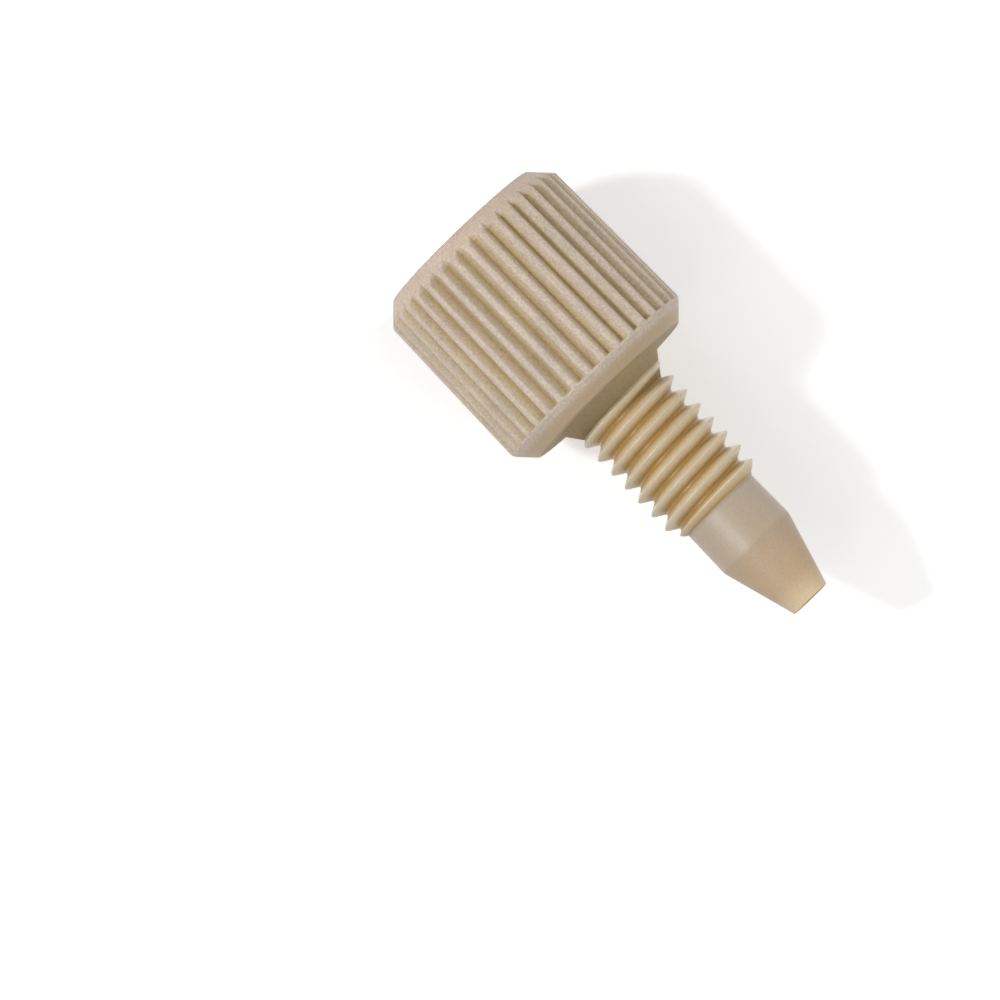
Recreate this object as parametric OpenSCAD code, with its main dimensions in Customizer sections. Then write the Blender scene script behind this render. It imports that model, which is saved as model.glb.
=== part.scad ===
// One-piece finger-tight tube fitting: a grooved head, a fine right-hand thread and a sealing cone,
// moulded as one piece round a straight bore that takes a 1/16 inch tube. The part stands on the
// back face of its head, with its axis on Z and the tip of the cone at the top.

/* [Head] */
// Diameter over the ridges at the front rim
head_d = 9.5; // [8.5:0.1:12]
// Length from the back face to the front face
head_len = 8.8; // [7:0.1:12]
// Mould draft of the ridge tops, in degrees a side
draft = 0.9; // [0:0.1:2]
// Length of the back chamfer along the axis
back_chamfer_len = 0.84; // [0.4:0.02:1]
// Length of the front chamfer along the axis
front_chamfer_len = 0.78; // [0.4:0.02:1]
// Slope of both chamfers against the axis, in degrees
chamfer_angle = 44; // [35:1:50]
// Radius of the edge between the ridges and the front chamfer
rim_edge_r = 0.4; // [0.1:0.05:0.5]
// Radius that the mould leaves on the head's other edges
edge_r = 0.12; // [0.05:0.01:0.2]

/* [Grooves] */
// Number of grooves round the head
groove_count = 36; // [24:1:40]
// Depth of a groove below the ridge tops
groove_depth = 0.34; // [0.2:0.02:0.4]
// Width of a groove between two ridge tops
groove_w = 0.58; // [0.3:0.02:0.6]
// Distance from the end of the grooves to the edge of the front chamfer
rim_w = 0; // [0:0.02:1]

/* [Collar] */
// Diameter of the collar where it leaves the head
collar_d = 5.45; // [5:0.05:7]
// Slope of the collar against the axis, in degrees
collar_angle = 36; // [30:1:50]

/* [Thread] */
// Outside diameter of the thread
thread_d = 4.68; // [4.4:0.02:5]
// Distance from one crest to the next
pitch = 0.794; // [0.7:0.002:0.85]
// Distance from the front of the head to the end of the thread
thread_len = 6.56; // [4:0.02:10]
// Angle round the axis at which the crest leaves the front of the head
thread_start = 265; // [0:5:355]
// Slope of the chamfer at the end of the thread against the axis, in degrees
thread_end_angle = 45; // [30:1:60]

/* [Nose] */
// Diameter of the plain nose at its shoulder
nose_d = 3.66; // [3.4:0.02:3.68]
// Growth of the plain nose in diameter towards its shoulder
nose_flare = 0.06; // [0:0.01:0.1]
// Length of the plain nose from the thread to the shoulder
nose_len = 2.18; // [1:0.02:5]
// Radius of the shoulder between the plain nose and the cone
shoulder_r = 0.8; // [0.2:0.1:1.5]
// Slope of the sealing cone against the axis, in degrees
cone_angle = 16; // [12:0.5:25]

/* [Bore] */
// Diameter of the bore for the tube
bore_d = 1.62; // [1.5:0.01:2]
// Wall left round the bore at the tip
tip_wall = 0.1; // [0.05:0.01:0.3]
// Depth of the lead-in at the back of the bore
lead_in = 0.35; // [0.1:0.05:0.8]

/* [Hidden] */
// Segments of a full turn, for round forms and for the thread
$fn = 96;
THREAD_SEGMENTS = 36;
// Flats that stand for a rounded edge
EDGE_STEPS = 3;
// Length by which a cutting shape passes the surface that it opens
OVERCUT = 0.5;
// Shares of the pitch taken by the flat crest and by the depth of the thread
CREST_SHARE = 1 / 8;
DEPTH_SHARE = 0.6134;
// Slope of each flank of the thread
FLANK_ANGLE = 30;
// Height above the nose at which the chamfer of the thread meets its flat end
END_STEP = 0.08;
// Depth at which the turned core lies below the valleys of the thread, out of sight
CORE_INSET = 0.1;

// Head
rim_r = head_d / 2;
front_chamfer_z = head_len - front_chamfer_len;
front_face_r = rim_r - front_chamfer_len * tan(chamfer_angle);
back_r = rim_r - (front_chamfer_z - back_chamfer_len) * tan(draft);
back_face_r = back_r - back_chamfer_len * tan(chamfer_angle);

// Threaded shank
thread_depth = pitch * DEPTH_SHARE;
crest_r = thread_d / 2;
root_r = crest_r - thread_depth;
core_r = root_r - CORE_INSET;
collar_r = collar_d / 2;
collar_end_z = head_len + (collar_r - core_r) / tan(collar_angle);
thread_end_z = head_len + thread_len;

// Nose and tip
nose_r = nose_d / 2;
nose_start_r = nose_r - nose_flare / 2;
tip_r = bore_d / 2 + tip_wall;
shoulder_z = thread_end_z + nose_len;
tip_z = shoulder_z + (nose_r - tip_r) / tan(cone_angle);

function unit(v) = v / norm(v);

// Points of the arc that rounds the corner at a point between its two neighbours
function rounded(before, at, after, radius) = let (
    back = unit(before - at),
    onward = unit(after - at),
    half_angle = acos(back * onward) / 2,
    centre = at + unit(back + onward) * radius / sin(half_angle),
    first = at + back * radius / tan(half_angle) - centre,
    last = at + onward * radius / tan(half_angle) - centre
) [for (i = [0 : EDGE_STEPS]) centre + radius * unit(first * (EDGE_STEPS - i) + last * i)];

// Half of the section, from the back of the head to the tip, with its moulded edges rounded
module section() {
    back_face = [back_face_r, 0];
    back_edge = [back_r, back_chamfer_len];
    rim_edge = [rim_r, front_chamfer_z];
    front_edge = [front_face_r, head_len];
    collar_foot = [collar_r, head_len];
    nose_start = [nose_start_r, thread_end_z];
    shoulder = [nose_r, shoulder_z];
    tip = [tip_r, tip_z];
    polygon([
        [0, 0],
        each rounded([0, 0], back_face, back_edge, edge_r),
        each rounded(back_face, back_edge, rim_edge, edge_r),
        each rounded(back_edge, rim_edge, front_edge, rim_edge_r),
        each rounded(rim_edge, front_edge, collar_foot, edge_r),
        collar_foot,
        [core_r, collar_end_z],
        nose_start,
        each rounded(nose_start, shoulder, tip, shoulder_r),
        tip,
        [0, tip_z]
    ]);
}

// One V groove, open at the back chamfer and closed at the rim. It leans inwards with the draft, so
// that its depth below the ridge tops stays the same.
module groove() {
    groove_end = front_chamfer_z - rim_w;
    mouth_w = groove_w * (1 + OVERCUT / groove_depth);
    translate([rim_r - rim_w * tan(draft), 0, groove_end])
        rotate([0, 180 + draft, 0])
            linear_extrude(height = groove_end + OVERCUT)
                polygon([[groove_depth, 0], [-OVERCUT, mouth_w / 2], [-OVERCUT, -mouth_w / 2]]);
}

module grooved_head_and_shank() {
    difference() {
        rotate_extrude()
            section();
        for (i = [0 : groove_count - 1])
            rotate([0, 0, 360 / groove_count * i])
                groove();
    }
}

// Threaded shank before its end is cut. Each turn of a right-hand helix has four edges: the two feet
// of the ridge and the two edges of its flat crest. Flat strips join each edge to the next, and the
// last edge of a turn to the first of the turn above. At each end a fan round one point of the axis
// and an upright wall across the ridge close the solid.
module thread_helix() {
    crest = pitch * CREST_SHARE / 2;
    foot = crest + thread_depth * tan(FLANK_ANGLE);
    start_z = head_len - pitch;
    turns = ceil((thread_end_z - start_z) / pitch) + 1;
    function ring(turn) = let (angle = thread_start + 360 * turn) [
        for (edge = [[root_r, -foot], [crest_r, -crest], [crest_r, crest], [root_r, foot]])
            [edge.x * cos(angle), edge.x * sin(angle), start_z + pitch * turn + edge.y]
    ];
    // Two triangles between the edges that start at points a and b of one ring
    function strip(a, b) = [[a, b, a + 4], [b, b + 4, a + 4]];
    turn_points = 4 * THREAD_SEGMENTS;
    last = turns * turn_points;
    low_tip = last + 4;
    high_tip = last + 5;
    polyhedron(
        points = [
            for (step = [0 : turns * THREAD_SEGMENTS]) each ring(step / THREAD_SEGMENTS),
            [0, 0, start_z - pitch],
            [0, 0, start_z + pitch * (turns + 1)]
        ],
        faces = [
            for (i = [0 : 4 : last - 4], side = [0 : 2]) each strip(i + side, i + side + 1),
            for (i = [0 : 4 : last - turn_points - 4]) each strip(i + 3, i + turn_points),
            for (i = [0 : 4 : turn_points - 4]) [low_tip, i, i + 4],
            for (i = [last - turn_points : 4 : last - 4]) [high_tip, i + 7, i + 3],
            [low_tip, turn_points, 3, 2, 1, 0],
            [high_tip, last - turn_points + 3, last, last + 1, last + 2, last + 3]
        ]
    );
}

// The thread ends in a chamfer, which takes the crest down almost to the nose, and a flat face.
module threaded_shank() {
    end_r = nose_start_r + END_STEP;
    outer_r = crest_r + OVERCUT;
    chamfer_len = (outer_r - end_r) / tan(thread_end_angle);
    top_z = thread_end_z + 5 * pitch;
    difference() {
        thread_helix();
        rotate_extrude()
            polygon([
                [0, thread_end_z],
                [end_r, thread_end_z],
                [outer_r, thread_end_z - chamfer_len],
                [outer_r, top_z],
                [0, top_z]
            ]);
    }
}

// Bore, with the lead-in that guides the tube in at the back
module bore() {
    translate([0, 0, -OVERCUT])
        cylinder(d = bore_d, h = tip_z + 2 * OVERCUT);
    translate([0, 0, -OVERCUT])
        cylinder(r1 = bore_d / 2 + lead_in + OVERCUT, r2 = bore_d / 2, h = lead_in + OVERCUT);
}

module fitting() {
    color("#cdb99c")
        difference() {
            union() {
                grooved_head_and_shank();
                threaded_shank();
            }
            bore();
        }
}

fitting();
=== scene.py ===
# %% [markdown]
# # A finger-tight tube fitting
#
# This small screw joins a thin tube to an instrument. It is moulded in one piece: a grooved head for
# the fingers, a fine right-hand thread, and a plain nose that ends in a sealing cone. A straight
# bore carries the tube through it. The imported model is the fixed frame. Everything here is in metres
# in that frame: the back of the head stands on z = 0, and the cone points up.

import bpy
import numpy as np
from mathutils import Matrix, Vector


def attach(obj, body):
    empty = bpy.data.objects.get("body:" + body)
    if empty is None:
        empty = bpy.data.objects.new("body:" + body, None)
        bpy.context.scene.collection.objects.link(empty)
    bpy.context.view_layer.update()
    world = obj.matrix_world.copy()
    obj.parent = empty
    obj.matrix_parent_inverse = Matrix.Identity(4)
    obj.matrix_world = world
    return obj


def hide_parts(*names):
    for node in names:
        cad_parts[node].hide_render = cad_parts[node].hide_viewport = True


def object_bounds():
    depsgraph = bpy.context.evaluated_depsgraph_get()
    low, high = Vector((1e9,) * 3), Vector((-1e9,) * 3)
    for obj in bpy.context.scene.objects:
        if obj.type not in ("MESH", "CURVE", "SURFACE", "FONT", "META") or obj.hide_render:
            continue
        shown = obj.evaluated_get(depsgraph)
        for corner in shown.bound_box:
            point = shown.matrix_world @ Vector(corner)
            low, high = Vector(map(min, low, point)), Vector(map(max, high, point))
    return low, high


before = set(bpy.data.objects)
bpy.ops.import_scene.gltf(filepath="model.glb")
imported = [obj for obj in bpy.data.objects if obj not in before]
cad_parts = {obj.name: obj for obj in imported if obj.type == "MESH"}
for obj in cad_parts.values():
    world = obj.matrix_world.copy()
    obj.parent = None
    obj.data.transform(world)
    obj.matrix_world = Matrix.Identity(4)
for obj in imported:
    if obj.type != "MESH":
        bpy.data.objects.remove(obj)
cad_low, cad_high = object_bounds()
print("box of the packed model, mm:", [round(1000 * (b - a), 3) for a, b in zip(cad_low, cad_high)])

# %% [markdown]
# ## Sizes
#
# The outline of the part comes from a few sizes, as on a toolmaker's drawing. The height of the tip
# comes from the imported model's own box, so the dressed part can't drift from it there. The other
# sizes are the drawing's, in millimetres turned to metres. A chamfer or a cone is given by its slope,
# and the radii at its far end are worked out from that.

# %% Sizes of the part
MM = 0.001

HEAD_D = 9.5 * MM
HEAD_LEN = 8.8 * MM
DRAFT = np.radians(0.9)
BACK_CHAMFER_LEN = 0.84 * MM
FRONT_CHAMFER_LEN = 0.78 * MM
CHAMFER_ANGLE = np.radians(44)
RIM_EDGE_R = 0.4 * MM
EDGE_R = 0.12 * MM

GROOVE_COUNT = 36
GROOVE_DEPTH = 0.34 * MM
GROOVE_W = 0.58 * MM

COLLAR_R = 5.45 * MM / 2
COLLAR_ANGLE = np.radians(36)

THREAD_R = 4.68 * MM / 2
PITCH = 0.794 * MM
THREAD_DEPTH = 0.6134 * PITCH
CREST_HALF = PITCH / 16
FLANK_ANGLE = np.radians(30)
THREAD_END = HEAD_LEN + 6.56 * MM
THREAD_START_ANGLE = np.radians(265)
THREAD_END_ANGLE = np.radians(45)
THREAD_END_STEP = 0.08 * MM

NOSE_R = 3.66 * MM / 2
NOSE_START_R = NOSE_R - 0.03 * MM
SHOULDER_Z = THREAD_END + 2.18 * MM
SHOULDER_R = 0.8 * MM
BORE_R = 1.62 * MM / 2
TIP_R = BORE_R + 0.1 * MM
TIP_Z = cad_high.z
LEAD_IN = 0.35 * MM
FOOT_EDGE_R = 0.06 * MM
TIP_EDGE_R = 0.03 * MM
BORE_EDGE_R = 0.02 * MM

rim_r = HEAD_D / 2
front_chamfer_z = HEAD_LEN - FRONT_CHAMFER_LEN
front_face_r = rim_r - FRONT_CHAMFER_LEN * np.tan(CHAMFER_ANGLE)
back_r = rim_r - (front_chamfer_z - BACK_CHAMFER_LEN) * np.tan(DRAFT)
back_face_r = back_r - BACK_CHAMFER_LEN * np.tan(CHAMFER_ANGLE)
groove_end = front_chamfer_z
root_r = THREAD_R - THREAD_DEPTH
print(f"root radius {root_r / MM:.3f} mm, tip at {TIP_Z / MM:.3f} mm")

# %% [markdown]
# ## Soft corners in formulas
#
# A mould never leaves a perfectly sharp edge. Where two surfaces cross, the body follows the lower
# one on an outside edge and the upper one in a hollow. A plain minimum or maximum makes a knife
# edge there. The smooth forms below bend from one surface to the other over a small band, which
# catches a thin highlight as the real edge does.


# %% Smooth minimum and maximum
def smooth_min(a, b, band):
    """The lower of a and b. Where they differ by less than the band, a parabola joins them."""
    share = np.clip(0.5 + 0.5 * (b - a) / band, 0, 1)
    return b + (a - b) * share - band * share * (1 - share)


def smooth_max(a, b, band):
    """The higher of a and b, joined in the same way."""
    return -smooth_min(-a, -b, band)


def smooth_step(low, high, value):
    """0 below low and 1 above high, with a level start and end: 3 t^2 - 2 t^3 between them."""
    t = np.clip((value - low) / (high - low), 0, 1)
    return t * t * (3 - 2 * t)


# %% [markdown]
# ## One outline, turned round the axis
#
# The whole part is a body of revolution with grooves and a thread laid on it. So its mesh can be
# one grid: a profile carried round the Z axis. The profile is a chain of straight stretches with
# rounded corners. Each corner is given by its radius from the axis, its height, its rounding and
# how many rows the stretch before it needs: few on a plain wall, many where a groove runs out.


# %% Rows along a profile
ARC_ROWS = 9


def profile(stops):
    """Points (r, z) along straight stretches that join the stops, with each corner rounded.

    A stop is (r, z, rounding, rows). The arc of a corner touches both stretches at a distance of
    rounding / tan(half the angle between them), and its centre lies on their bisector."""
    corners = np.array([stop[:2] for stop in stops])
    here = corners[0]
    chain = [corners[:1]]
    for i, (_, _, rounding, rows) in enumerate(stops[1:], start=1):
        corner = corners[i]
        arc = corner[None, :]
        if rounding > 0:
            back = corners[i - 1] - corner
            back /= np.linalg.norm(back)
            onward = corners[i + 1] - corner
            onward /= np.linalg.norm(onward)
            half_angle = np.arccos(back @ onward) / 2
            middle = (back + onward) / np.linalg.norm(back + onward)
            centre = corner + middle * rounding / np.sin(half_angle)
            first = back * rounding / np.tan(half_angle) + corner - centre
            last = onward * rounding / np.tan(half_angle) + corner - centre
            share = np.linspace(0, 1, ARC_ROWS)[:, None]
            spokes = first * (1 - share) + last * share
            arc = centre + rounding * spokes / np.linalg.norm(spokes, axis=1, keepdims=True)
        steps = np.linspace(0, 1, rows + 1)[1:, None]
        chain.append(here * (1 - steps) + arc[0] * steps)
        chain.append(arc[1:])
        here = arc[-1]
    return np.concatenate(chain)


# %% [markdown]
# ## The head
#
# The ridges give the fingers their grip. On the real mould each groove is a V cut along the head,
# open at the back chamfer and closed at the front rim. Cutting 36 booleans out of a cylinder would
# give long thin triangles and hard edges. Here the radius itself is a function of the height and the
# angle, so a groove is only a formula, and its edges and its bottom can be soft. The columns of the
# grid crowd together at the bottom and at the two edges of each groove, where the surface bends.

# %% Columns of the head
HALF_COLUMNS = np.array([0.1, 0.24, 0.42, 0.54, 0.64, 0.78])
groove_columns = np.concatenate([-HALF_COLUMNS[::-1], [0], HALF_COLUMNS, [1]])
half_pitch_angle = np.pi / GROOVE_COUNT
groove_angles = np.arange(GROOVE_COUNT) * 2 * half_pitch_angle
head_angles = (groove_angles[:, None] + groove_columns * half_pitch_angle).ravel()
from_groove = np.tile(groove_columns * half_pitch_angle, GROOVE_COUNT)
SHANK_SHARE = 3
shank_angles = np.arange(len(head_angles) // SHANK_SHARE) * SHANK_SHARE * 2 * np.pi / len(head_angles)
shank_angles = shank_angles + head_angles[0]
print(len(head_angles), "columns on the head,", len(shank_angles), "on the shank")

# %% Rows of the head
FACE_MARGIN = 0.25 * MM
RIM_ROWS_LEN = 0.4 * MM
head_rows = profile([
    (back_face_r - FACE_MARGIN, 0, 0, 0),
    (back_face_r, 0, EDGE_R, 2),
    (back_r, BACK_CHAMFER_LEN, EDGE_R, 20),
    (rim_r - RIM_ROWS_LEN * np.tan(DRAFT), front_chamfer_z - RIM_ROWS_LEN, 0, 16),
    (rim_r, front_chamfer_z, RIM_EDGE_R, 8),
    (front_face_r, HEAD_LEN, EDGE_R, 5),
    (front_face_r - FACE_MARGIN, HEAD_LEN, 0, 2),
])
print(len(head_rows), "rows on the head")

# %% Grooves
EDGE_BAND = 0.06 * MM
VALLEY_R = 0.02 * MM
END_WALL_SLOPE = 4.0


def grooved_radius(r, z, angle_from_groove):
    """The smooth minimum of the plain radius and the groove.

    The groove is a V: its bottom lies GROOVE_DEPTH below the ridge tops, and its sides rise with
    the distance from its middle, rounded as a hyperbola at the bottom. A steep wall closes it at
    the rim, so the groove is the smooth maximum of the V and that wall."""
    ridge_top = rim_r - (front_chamfer_z - z) * np.tan(DRAFT)
    across = ridge_top * angle_from_groove
    side_slope = 2 * GROOVE_DEPTH / GROOVE_W
    vee = ridge_top - GROOVE_DEPTH + side_slope * np.sqrt(across**2 + VALLEY_R**2)
    end_wall = ridge_top + (z - groove_end) * END_WALL_SLOPE
    return smooth_min(r, smooth_max(vee, end_wall, EDGE_BAND / 2), EDGE_BAND)


head_plain_r = head_rows[:, :1]
head_z = np.repeat(head_rows[:, 1:], len(head_angles), axis=1)
head_r = grooved_radius(head_plain_r, head_z, from_groove[None, :])
head_recess = np.clip((head_plain_r - head_r) / GROOVE_DEPTH, 0, 1)
print(f"deepest groove {(head_plain_r - head_r).max() / MM:.3f} mm")

# %% [markdown]
# ## The collar, the thread and the nose
#
# A thread is one ridge that winds round the shank like a spiral stair: for each full turn its crest
# climbs by one pitch. At a given height and angle it is enough to know how far away the nearest
# crest is. The ridge falls from its flat crest along two straight flanks and is soft at the crest
# and in the valley. A chamfer cuts off its last turn, as on any screw, and the collar is a cone that
# swallows its first one. A smooth minimum and a smooth maximum do that by themselves.

# %% Rows of the shank, the tip and the bore
CORE_R = root_r - 0.1 * MM
collar_end = HEAD_LEN + (COLLAR_R - CORE_R) / np.tan(COLLAR_ANGLE)
STEP_BAND = 0.006 * MM
shank_rows = profile([
    (front_face_r - 2 * FACE_MARGIN, HEAD_LEN, 0, 0),
    (COLLAR_R, HEAD_LEN, FOOT_EDGE_R, 4),
    (CORE_R, collar_end, 0, 34),
    (CORE_R, THREAD_END - 2 * STEP_BAND, 0, 158),
    (NOSE_START_R, THREAD_END - STEP_BAND, 0, 1),
    (NOSE_START_R, THREAD_END + STEP_BAND, 0, 5),
    (NOSE_R, SHOULDER_Z, SHOULDER_R, 12),
    (TIP_R, TIP_Z, TIP_EDGE_R, 12),
    (BORE_R, TIP_Z, BORE_EDGE_R, 1),
    (BORE_R, LEAD_IN, 0, 16),
    (BORE_R + LEAD_IN, 0, TIP_EDGE_R, 3),
    (back_face_r - 2 * FACE_MARGIN, 0, 0, 3),
])
print(len(shank_rows), "rows on the shank")

# %% The ridge of the thread
CREST_BAND = 0.09 * MM
ROOT_BAND = 0.07 * MM
COLLAR_BAND = 0.05 * MM
END_BAND = 0.06 * MM


def thread_radius(z, angle):
    """The radius of the threaded shank at a height and an angle.

    The crest passes an angle at heights one pitch apart. The drop below the crest is the distance
    to the nearest of them, less half the flat crest, divided by the tangent of the flank angle."""
    start_z = HEAD_LEN - PITCH
    turns_before = (angle - THREAD_START_ANGLE) / (2 * np.pi)
    nearest = np.round((z - start_z) / PITCH - turns_before)
    distance = np.abs(z - start_z - (nearest + turns_before) * PITCH)
    height = THREAD_DEPTH - (distance - CREST_HALF) / np.tan(FLANK_ANGLE)
    height = smooth_max(smooth_min(height, THREAD_DEPTH, CREST_BAND), 0, ROOT_BAND)
    end_chamfer = NOSE_START_R + THREAD_END_STEP - root_r + (THREAD_END - z) * np.tan(THREAD_END_ANGLE)
    return root_r + smooth_min(height, end_chamfer, END_BAND)


shank_plain_r = shank_rows[:, :1]
shank_z = np.repeat(shank_rows[:, 1:], len(shank_angles), axis=1)
threaded = 1 - smooth_step(THREAD_END - STEP_BAND, THREAD_END + STEP_BAND, shank_z)
outside = (np.arange(len(shank_rows)) < np.argmax(shank_rows[:, 1]))[:, None]
ridge_r = thread_radius(shank_z, shank_angles[None, :])
with_thread = smooth_max(shank_plain_r, ridge_r, COLLAR_BAND)
shank_r = shank_plain_r + (with_thread - shank_plain_r) * threaded * outside
print(f"thread from {root_r / MM:.3f} to {ridge_r.max() / MM:.3f} mm in radius")

# %% [markdown]
# ## Joining the two grids
#
# The head needs 504 columns for its grooves, and the shank is round enough with a third of them. On
# the flat front and back faces, where nothing shows, each third column of the head meets one column
# of the shank. Four triangles fill each such step. The last row of the bore meets the back face in
# the same way, so the surface closes on itself like a ring, with no seam and no pole.


# %% Faces between rings
def ring_quads(first, rows, columns):
    """Quads between neighbouring rows and columns of a grid whose columns close round the axis."""
    row = first + np.arange(rows - 1)[:, None] * columns
    here = np.arange(columns)
    there = np.roll(here, -1)
    corners = (row + here, row + there, row + columns + there, row + columns + here)
    return np.stack(corners, axis=-1).reshape(-1, 4)


def ring_step(fine, coarse, fine_count):
    """Triangles between a fine ring and a coarse one with a third of its columns."""
    step = np.arange(0, fine_count, SHANK_SHARE)
    a, b, c = fine + step, fine + step + 1, fine + step + 2
    d = fine + np.roll(step, -1)
    e = coarse + step // SHANK_SHARE
    f = np.roll(e, -1)
    return np.concatenate([np.stack(t, axis=-1) for t in ((a, b, e), (b, f, e), (b, c, f), (c, d, f))])


head_count = head_r.size
head_columns = len(head_angles)
shank_columns = len(shank_angles)
last_head_row = head_count - head_columns
last_shank_row = head_count + shank_r.size - shank_columns
quads = np.concatenate([
    ring_quads(0, len(head_rows), head_columns),
    ring_quads(head_count, len(shank_rows), shank_columns),
])
triangles = np.concatenate([
    ring_step(last_head_row, head_count, head_columns),
    ring_step(0, last_shank_row, head_columns)[:, ::-1],
])
print(2 * len(quads) + len(triangles), "triangles")

# %% Points of the body
even_angles = head_angles[0] + np.arange(head_columns) * 2 * np.pi / head_columns
head_phi = np.repeat(head_angles[None, :], len(head_rows), axis=0)
head_phi[[0, -1]] = even_angles
shank_phi = np.repeat(shank_angles[None, :], len(shank_rows), axis=0)
r = np.concatenate([head_r.ravel(), shank_r.ravel()])
phi = np.concatenate([head_phi.ravel(), shank_phi.ravel()])
z = np.concatenate([head_z.ravel(), shank_z.ravel()])
points = np.column_stack([r * np.cos(phi), r * np.sin(phi), z])


def signed_volume(a, b, c):
    """Sum over triangles of a . (b x c) / 6: the pyramids between each triangle and the origin."""
    return np.einsum("ij,ij->", points[a], np.cross(points[b], points[c])) / 6


volume = signed_volume(*quads.T[[0, 1, 2]]) + signed_volume(*quads.T[[0, 2, 3]]) + signed_volume(*triangles.T)
print(f"volume {volume / MM**3:.1f} mm3")

# %% The body as a mesh
body_mesh = bpy.data.meshes.new("fitting_body")
body_mesh.from_pydata(points.tolist(), [], quads.tolist() + triangles.tolist())
if body_mesh.validate():
    raise ValueError("the body has faces that repeat or are empty")
body_mesh.shade_smooth()
body = bpy.data.objects.new("fitting_body", body_mesh)
bpy.context.scene.collection.objects.link(body)
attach(body, "root")
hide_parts("fitting")

# %% [markdown]
# ## What the finish needs to know
#
# The colour is painted darker and warmer in the hollows as painted shade: in the grooves, in the
# thread valleys and in the corner between head and thread. The mould has left the head finely
# frosted, the threads satin and the nose smooth, and the colour grows lighter towards the thin tip as
# a painted glow. The grid knows where all these places are, so it stores them on the points: how deep
# a point lies in a groove, which share of each kind of skin it has, and how far along the nose it is.

# %% Depth and kind of skin on the points
FROST_END = front_chamfer_z + 0.25 * MM
FROST_FADE = 0.2 * MM
FACE_FADE = 0.1 * MM


def shoulder_depth(radius):
    """How far a point of the front face or the collar lies in the corner between head and thread."""
    return np.clip((front_face_r - radius) / (front_face_r - root_r), 0, 1)


on_ridge = smooth_step(-COLLAR_BAND, COLLAR_BAND, ridge_r - shank_plain_r) * threaded * outside
valley_depth = np.clip((THREAD_R - shank_r) / THREAD_DEPTH, 0, 1)
collar_skin = (1 - on_ridge) * outside * (shank_z < collar_end)
front_face = (1 - smooth_step(front_face_r - FACE_FADE, front_face_r, head_r)) * (head_z > HEAD_LEN / 2)
head_skin = 1 - smooth_step(FROST_END, FROST_END + FROST_FADE, head_z)
# The place along the nose sets the painted glow towards the tip.
along_nose = np.clip((shank_z - THREAD_END) / (TIP_Z - THREAD_END), 0, 1)
on_head = np.zeros_like(head_r)
on_shank = np.zeros_like(shank_r)
finish = {
    # The first entry is the depth that sets the painted shade in the grooves, the thread valleys and the
    # corner between head and thread.
    "shade_depth": (head_recess + front_face * shoulder_depth(head_r),
               on_ridge * valley_depth + collar_skin * shoulder_depth(shank_r)),
    "head_skin": (head_skin, on_shank),
    "thread_skin": (on_head, on_ridge),
    "collar_skin": (front_face, collar_skin),
    "along_nose": (on_head, along_nose),
}
for name, (head_values, shank_values) in finish.items():
    values = np.concatenate([head_values.ravel(), shank_values.ravel()])
    layer = body_mesh.attributes.new(name, "FLOAT", "POINT")
    layer.data.foreach_set("value", values.astype(np.float32))
    print(name, round(float(values.min()), 2), round(float(values.max()), 2))

# %% [markdown]
# ## The plastic
#
# The part is a hard, slightly clouded plastic of a pinkish beige. The real part isn't painted, so its
# colour comes from inside: a little subsurface scattering softens the edges. Each kind of skin has its
# own row of tones, from the open surface down to the bottom of a groove, and its own feel: how rough
# it is, how much it shines and how grainy it is. One vector carries these three numbers, so they are
# blended in the same way as the colours. The rows of tones grow darker towards the bottom of a
# groove, a thread valley and the corner between head and thread, which is painted shade. The thread's
# row is lightest a little below the crest, which is painted light. The nose's row grows lighter
# towards the tip, which is a painted glow. The index of refraction is the plastic's own, which is high
# for a plastic, so the smooth nose shines. A coarse noise varies the colour by a few percent and a fine
# one by about a tenth, and a fine grain in the bump gives the head its sparkle.

# %% Tones and feel
# A row of tones is a list of (place from 0 to 1, colour). A feel is (roughness, shine, grain). The
# clouds and the speckle are (noise cells per metre, spread of the colour).
# The smooth skin's tones along the nose: they grow lighter towards the thin tip, which is a painted glow.
SMOOTH_TONES_AND_GLOW = [
    (0.00, (0.487, 0.342, 0.182)),
    (0.02, (0.415, 0.325, 0.222)),
    (0.30, (0.425, 0.325, 0.217)),
    (0.52, (0.490, 0.345, 0.200)),
    (0.80, (0.540, 0.370, 0.205)),
    (1.00, (0.760, 0.590, 0.350)),
]
# The head's tones from ridge top to groove bottom: the darkening towards the bottom is painted shade.
HEAD_TONES_AND_SHADE = [
    (0.00, (0.655, 0.545, 0.445)),
    (0.12, (0.580, 0.475, 0.365)),
    (0.45, (0.565, 0.465, 0.315)),
    (0.72, (0.520, 0.400, 0.235)),
    (1.00, (0.390, 0.275, 0.115)),
]
# The thread's tones from crest to valley: lightest a little below the crest, which is painted light, and
# darkest in the valley, which is painted shade.
THREAD_TONES_LIGHT_AND_SHADE = [
    (0.0, (0.67, 0.555, 0.395)),
    (0.2, (0.79, 0.680, 0.485)),
    (0.5, (0.69, 0.550, 0.335)),
    (0.8, (0.59, 0.410, 0.175)),
    (1.0, (0.41, 0.235, 0.060)),
]
# The tones of the front face and the collar: darker towards the corner between head and thread, which is
# painted shade.
COLLAR_TONES_AND_SHADE = [
    (0.0, (0.54, 0.410, 0.250)),
    (0.6, (0.45, 0.345, 0.195)),
    (1.0, (0.26, 0.180, 0.075)),
]
SMOOTH_FEEL = (0.40, 1.00, 0.4)
HEAD_FEEL = (0.48, 0.27, 1.0)
THREAD_FEEL = (0.30, 0.37, 0.4)
COLLAR_FEEL = (0.60, 0.13, 0.6)
REFRACTION = 1.65
CLOUDS = (700.0, 0.3)
SPECKLE = (9500.0, 0.8)
SPECKLE_TINT = 0.12
GRAIN_SCALE = 11000.0


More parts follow.
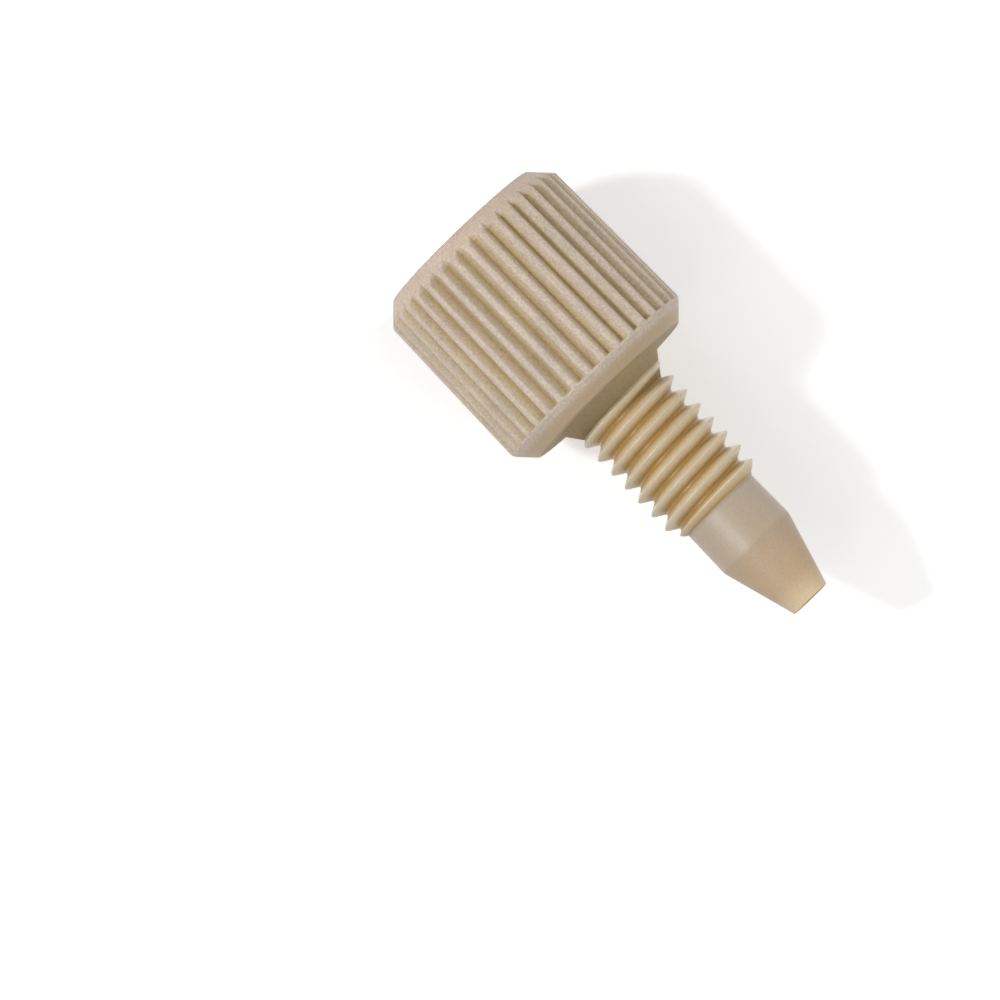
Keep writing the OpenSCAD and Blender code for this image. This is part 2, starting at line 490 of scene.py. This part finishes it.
# %% A small helper for nodes
def add_node(tree, kind, inputs=None, **settings):
    """A node of the given kind, with settings on the node and values or links on its inputs."""
    node = tree.nodes.new(kind)
    for name, value in settings.items():
        setattr(node, name, value)
    for name, value in (inputs or {}).items():
        if isinstance(value, bpy.types.NodeSocket):
            tree.links.new(value, node.inputs[name])
        else:
            node.inputs[name].default_value = value
    return node


def mix_colours(tree, share, first, second):
    """The first colour where share is 0 and the second where it is 1."""
    node = add_node(tree, "ShaderNodeMix", data_type="RGBA")
    for socket, value in ((node.inputs[0], share), (node.inputs[6], first), (node.inputs[7], second)):
        if isinstance(value, bpy.types.NodeSocket):
            tree.links.new(value, socket)
        else:
            socket.default_value = value
    return node.outputs[2]


def tones(tree, share, stops):
    """A colour that passes through the tones in turn as share goes from 0 to 1."""
    ramp = add_node(tree, "ShaderNodeValToRGB", {"Fac": share})
    elements = ramp.color_ramp.elements
    for _ in stops[2:]:
        elements.new(0.5)
    for element, (position, colour) in zip(elements, stops):
        element.position = position
        element.color = (*colour, 1)
    return ramp.outputs["Color"]


# %% Build the plastic
def moulded_plastic():
    """Beige plastic with painted shade in the hollows, a painted glow at the thin tip and a fine grain."""
    material = bpy.data.materials.new("natural_peek")
    material.use_nodes = True
    tree = material.node_tree
    tree.nodes.clear()
    place = add_node(tree, "ShaderNodeTexCoord").outputs["Object"]
    here = {}
    for name in finish:
        here[name] = add_node(tree, "ShaderNodeAttribute", attribute_name=name).outputs["Fac"]
    # Tones that darken with depth: painted shade in the hollows.
    head_tone_and_shade = tones(tree, here["shade_depth"], HEAD_TONES_AND_SHADE)
    thread_tone_light_and_shade = tones(tree, here["shade_depth"], THREAD_TONES_LIGHT_AND_SHADE)
    collar_tone_and_shade = tones(tree, here["shade_depth"], COLLAR_TONES_AND_SHADE)

    # The smooth skin grows lighter towards the tip: a painted glow.
    colour = tones(tree, here["along_nose"], SMOOTH_TONES_AND_GLOW)
    colour = mix_colours(tree, here["head_skin"], colour, head_tone_and_shade)
    colour = mix_colours(tree, here["thread_skin"], colour, thread_tone_light_and_shade)
    colour = mix_colours(tree, here["collar_skin"], colour, collar_tone_and_shade)
    feel = mix_colours(tree, here["head_skin"], (*SMOOTH_FEEL, 1), (*HEAD_FEEL, 1))
    feel = mix_colours(tree, here["thread_skin"], feel, (*THREAD_FEEL, 1))
    feel = mix_colours(tree, here["collar_skin"], feel, (*COLLAR_FEEL, 1))
    feel = add_node(tree, "ShaderNodeSeparateColor", {"Color": feel})

    for scale, spread in (CLOUDS, SPECKLE):
        noise = add_node(tree, "ShaderNodeTexNoise", {"Vector": place, "Scale": scale, "Detail": 2.0})
        tint = mix_colours(tree, SPECKLE_TINT, noise.outputs["Fac"], noise.outputs["Color"])
        change = add_node(tree, "ShaderNodeVectorMath", {
            0: tint, 1: (spread,) * 3, 2: (1 - spread / 2,) * 3}, operation="MULTIPLY_ADD")
        product = add_node(tree, "ShaderNodeVectorMath", {
            0: colour, 1: change.outputs[0]}, operation="MULTIPLY")
        colour = mix_colours(tree, feel.outputs["Blue"], colour, product.outputs[0])

    height = add_node(tree, "ShaderNodeTexNoise", {"Vector": place, "Scale": GRAIN_SCALE, "Detail": 3.0})
    amount = add_node(tree, "ShaderNodeMath", {
        0: height.outputs["Fac"], 1: feel.outputs["Blue"]}, operation="MULTIPLY")
    bump = add_node(tree, "ShaderNodeBump", {
        "Height": amount.outputs[0], "Strength": 0.65, "Distance": 0.02 * MM})
    shader = add_node(tree, "ShaderNodeBsdfPrincipled", {
        "Base Color": colour,
        "Roughness": feel.outputs["Red"],
        "Specular IOR Level": feel.outputs["Green"],
        "IOR": REFRACTION,
        "Subsurface Weight": 0.25,
        "Subsurface Radius": (1.0, 0.55, 0.25),
        "Subsurface Scale": 0.3 * MM,
        "Normal": bump.outputs[0],
    })
    add_node(tree, "ShaderNodeOutputMaterial", {"Surface": shader.outputs[0]})
    return material


body_mesh.materials.append(moulded_plastic())

# %% [markdown]
# ## Floor and backdrop
#
# The fitting stands on its head on a pale floor, close to an upright white card that catches its
# shadow. Only the camera sees the card, so it takes no light away from the part, and it shows one
# side only, so it hides nothing from behind. Neither throws a shadow, because the key lamp stands
# lower than the floor. To the camera both are a little brighter than their lit colour, so that they
# come out white while the shadow on them stays.

# %% Stage surfaces
STAGE_SIZE = 3.0
CARD_Y = 4.8 * MM
FLOOR_DROP = 0.005 * MM


def seen_directly(tree):
    """1 for camera, glossy and transmission rays and 0 for all others, as the larger of the three."""
    rays = add_node(tree, "ShaderNodeLightPath")
    seen = add_node(tree, "ShaderNodeMath", {
        0: rays.outputs["Is Camera Ray"], 1: rays.outputs["Is Glossy Ray"]}, operation="MAXIMUM")
    seen = add_node(tree, "ShaderNodeMath", {
        0: seen.outputs[0], 1: rays.outputs["Is Transmission Ray"]}, operation="MAXIMUM")
    return seen.outputs[0]


def stage_material(name, colour, strength, one_sided):
    """A diffuse surface that adds an even glow for camera, glossy and transmission rays."""
    material = bpy.data.materials.new(name)
    material.use_nodes = True
    tree = material.node_tree
    tree.nodes.clear()
    glow = add_node(tree, "ShaderNodeMath", {0: seen_directly(tree), 1: strength}, operation="MULTIPLY")
    paper = add_node(tree, "ShaderNodeBsdfDiffuse", {"Color": (colour, colour, colour, 1)})
    light = add_node(tree, "ShaderNodeEmission", {"Strength": glow.outputs[0]})
    surface = add_node(tree, "ShaderNodeAddShader", {0: paper.outputs[0], 1: light.outputs[0]})
    if one_sided:
        side = add_node(tree, "ShaderNodeNewGeometry").outputs["Backfacing"]
        clear = add_node(tree, "ShaderNodeBsdfTransparent")
        surface = add_node(tree, "ShaderNodeMixShader", {0: side, 1: surface.outputs[0], 2: clear.outputs[0]})
    add_node(tree, "ShaderNodeOutputMaterial", {"Surface": surface.outputs[0]})
    return material


def sheet(name, corner, along, up, material):
    """A flat rectangle from one corner along two edges. It faces along their cross product."""
    a, b, c = Vector(corner), Vector(along), Vector(up)
    mesh = bpy.data.meshes.new(name)
    mesh.from_pydata([a, a + b, a + b + c, a + c], [], [(0, 1, 2, 3)])
    mesh.materials.append(material)
    made = bpy.data.objects.new(name, mesh)
    bpy.context.scene.collection.objects.link(made)
    return made


half = STAGE_SIZE / 2
floor = sheet("floor", (-half, -half, -FLOOR_DROP), (STAGE_SIZE, 0, 0), (0, STAGE_SIZE, 0),
              stage_material("floor_white", 0.8, 0.9, False))
card = sheet("card", (-half, CARD_Y, 0), (STAGE_SIZE, 0, 0), (0, 0, half),
             stage_material("card_white", 0.97, 0.335, True))
floor.visible_shadow = False
card.visible_shadow = False
card.visible_diffuse = False
card.visible_glossy = False
card.visible_transmission = False

# %% [markdown]
# ## Camera
#
# The part is small, so the camera is a long lens from far off, and the lines stay almost parallel.
# It looks at the side of the standing part from slightly above, and it is rolled so that the cone
# points to the lower right of the picture. The picture's scale is a named number: how many pixels
# one millimetre takes at the axis.

# %% Camera
AZIMUTH = np.radians(3.3)
ELEVATION = np.radians(3.3)
ROLL = np.radians(46.0)
DISTANCE = 0.6
PICTURE = 1000
PIXELS_PER_MM = 24.33
ANCHOR_Z = 10.465 * MM
ANCHOR_PIXEL = (636.8, 419.2)
SENSOR = 36.0

back = Vector((np.sin(AZIMUTH) * np.cos(ELEVATION), -np.cos(AZIMUTH) * np.cos(ELEVATION), np.sin(ELEVATION)))
upright = (Vector((0, 0, 1)) - back * back.z).normalized()
level = upright.cross(back)
picture_right = upright * np.cos(ROLL) - level * np.sin(ROLL)
picture_up = -upright * np.sin(ROLL) - level * np.cos(ROLL)
metres_per_pixel = MM / PIXELS_PER_MM
target = Vector((0, 0, ANCHOR_Z))
target -= picture_right * (ANCHOR_PIXEL[0] - PICTURE / 2) * metres_per_pixel
target -= picture_up * (PICTURE / 2 - ANCHOR_PIXEL[1]) * metres_per_pixel

camera_data = bpy.data.cameras.new("camera")
camera_data.sensor_width = SENSOR
camera_data.lens = SENSOR * DISTANCE / (PICTURE * metres_per_pixel)
camera_data.clip_start = 0.01
camera = bpy.data.objects.new("camera", camera_data)
bpy.context.scene.collection.objects.link(camera)
turn = Matrix((picture_right, picture_up, back)).transposed()
camera.matrix_world = Matrix.Translation(target + back * DISTANCE) @ turn.to_4x4()
bpy.context.scene.camera = camera
print(f"lens {camera_data.lens:.0f} mm")

# %% [markdown]
# ## Light
#
# The key lamp stands to the left of the picture and in front of it. It draws the dark lines in the
# grooves that face away from it, and it throws the shadow to the right. A broad window beside the
# camera gives the nose its highlight. Two large, weak lamps lift what the key leaves dark: the side
# of the thread that faces the cone, and the upper edge of the part. The pale room fills the rest.
# Each level is the brightness that the lamp alone gives a white surface square to it. Together they
# come to about one, so a colour renders about as it is written.

# %% Lamps
LAMP_DISTANCE = 0.5
KEY_SIZE = 0.06
BROAD_SIZE = 0.3
KEY_LEVEL = 0.375
WINDOW_LEVEL = 0.15
FILL_LEVEL = 0.18
TOP_LEVEL = 0.23
ROOM_LEVEL = 0.44


def area_lamp(name, direction, size, level, mirrored):
    """A square lamp that faces the part. A white surface square to it shines back with that level.

    The lamps that only fill shadows aren't mirrored, so the smooth nose shows one highlight."""
    data = bpy.data.lights.new(name, "AREA")
    data.size = size
    data.energy = level * np.pi**2 * LAMP_DISTANCE**2
    lamp = bpy.data.objects.new(name, data)
    aim = Vector((0, 0, TIP_Z / 2))
    lamp.location = aim + direction.normalized() * LAMP_DISTANCE
    lamp.rotation_euler = direction.to_track_quat("Z", "Y").to_euler()
    lamp.visible_camera = False
    lamp.visible_glossy = mirrored
    bpy.context.scene.collection.objects.link(lamp)


area_lamp("key", back - picture_right * 0.92, KEY_SIZE, KEY_LEVEL, True)
area_lamp("window", back + level * 0.6, BROAD_SIZE, WINDOW_LEVEL, True)
area_lamp("fill", back + upright * 1.13 - level * 0.5, BROAD_SIZE, FILL_LEVEL, False)
area_lamp("top", back * 0.2 - level, BROAD_SIZE, TOP_LEVEL, False)

# %% Room
world = bpy.data.worlds.new("room")
bpy.context.scene.world = world
world.use_nodes = True
world.node_tree.nodes.clear()
level_here = add_node(world.node_tree, "ShaderNodeMapRange", {
    "Value": seen_directly(world.node_tree), "To Min": ROOM_LEVEL, "To Max": 1.0})
room = add_node(world.node_tree, "ShaderNodeBackground", {"Strength": level_here.outputs[0]})
add_node(world.node_tree, "ShaderNodeOutputWorld", {"Surface": room.outputs[0]})
bpy.context.scene.view_settings.view_transform = "Standard"
